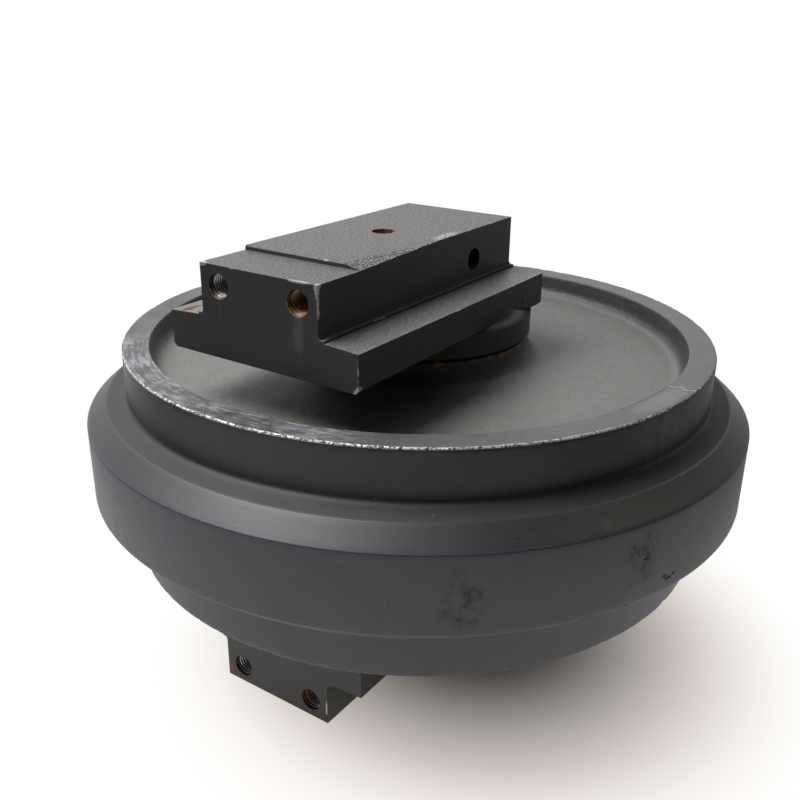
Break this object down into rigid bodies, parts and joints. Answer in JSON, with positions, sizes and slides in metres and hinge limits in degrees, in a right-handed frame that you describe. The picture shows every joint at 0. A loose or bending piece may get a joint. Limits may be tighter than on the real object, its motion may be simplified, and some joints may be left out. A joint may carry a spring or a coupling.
{
  "type": "excavator front idler",
  "caption": "Flanged idler wheel on a fixed axle between two T-section slide brackets, which carries and guides the front of an excavator's track.",
  "frame": {"origin": "centre of the wheel, on the axle and halfway between the rims", "axes": "+Z along the axle, upwards as pictured; +X from the axle to the bolted front faces of the brackets; +Y across the brackets"},
  "size_m": [0.498, 0.498, 0.3192],
  "materials": {
    "wheel_paint": "satin black paint over cast steel, rubbed bright on the rims",
    "bracket_paint": "satin black paint over cast steel, chipped at the edges",
    "axle_steel": "ground",
    "bush_bronze": "turned",
    "seal_iron": "lapped",
    "seal_rubber": "matte",
    "pin_steel": "darkened",
    "plug_steel": "rusted"
  },
  "bodies": {
    "frame": {"axle": "axle_steel", "upper_bracket": "bracket_paint", "lower_bracket": "bracket_paint", "upper_lock_pin": "pin_steel", "lower_lock_pin": "pin_steel", "upper_oil_plug": "plug_steel", "lower_oil_plug": "plug_steel", "upper_axle_oring": "seal_rubber", "lower_axle_oring": "seal_rubber", "upper_bracket_seal_ring": "seal_iron", "upper_bracket_toric_ring": "seal_rubber", "lower_bracket_seal_ring": "seal_iron", "lower_bracket_toric_ring": "seal_rubber"},
    "wheel": {"upper_wheel_half": "wheel_paint", "lower_wheel_half": "wheel_paint", "rim_weld": "wheel_paint", "upper_bush": "bush_bronze", "lower_bush": "bush_bronze", "upper_wheel_seal_ring": "seal_iron", "upper_wheel_toric_ring": "seal_rubber", "lower_wheel_seal_ring": "seal_iron", "lower_wheel_toric_ring": "seal_rubber"}
  },
  "joints": [
    {"name": "wheel_spin", "type": "hinge", "parent": "frame", "child": "wheel", "pos_m": [0, 0, 0], "axis": [0, 0, 1], "continuous": true}
  ]
}
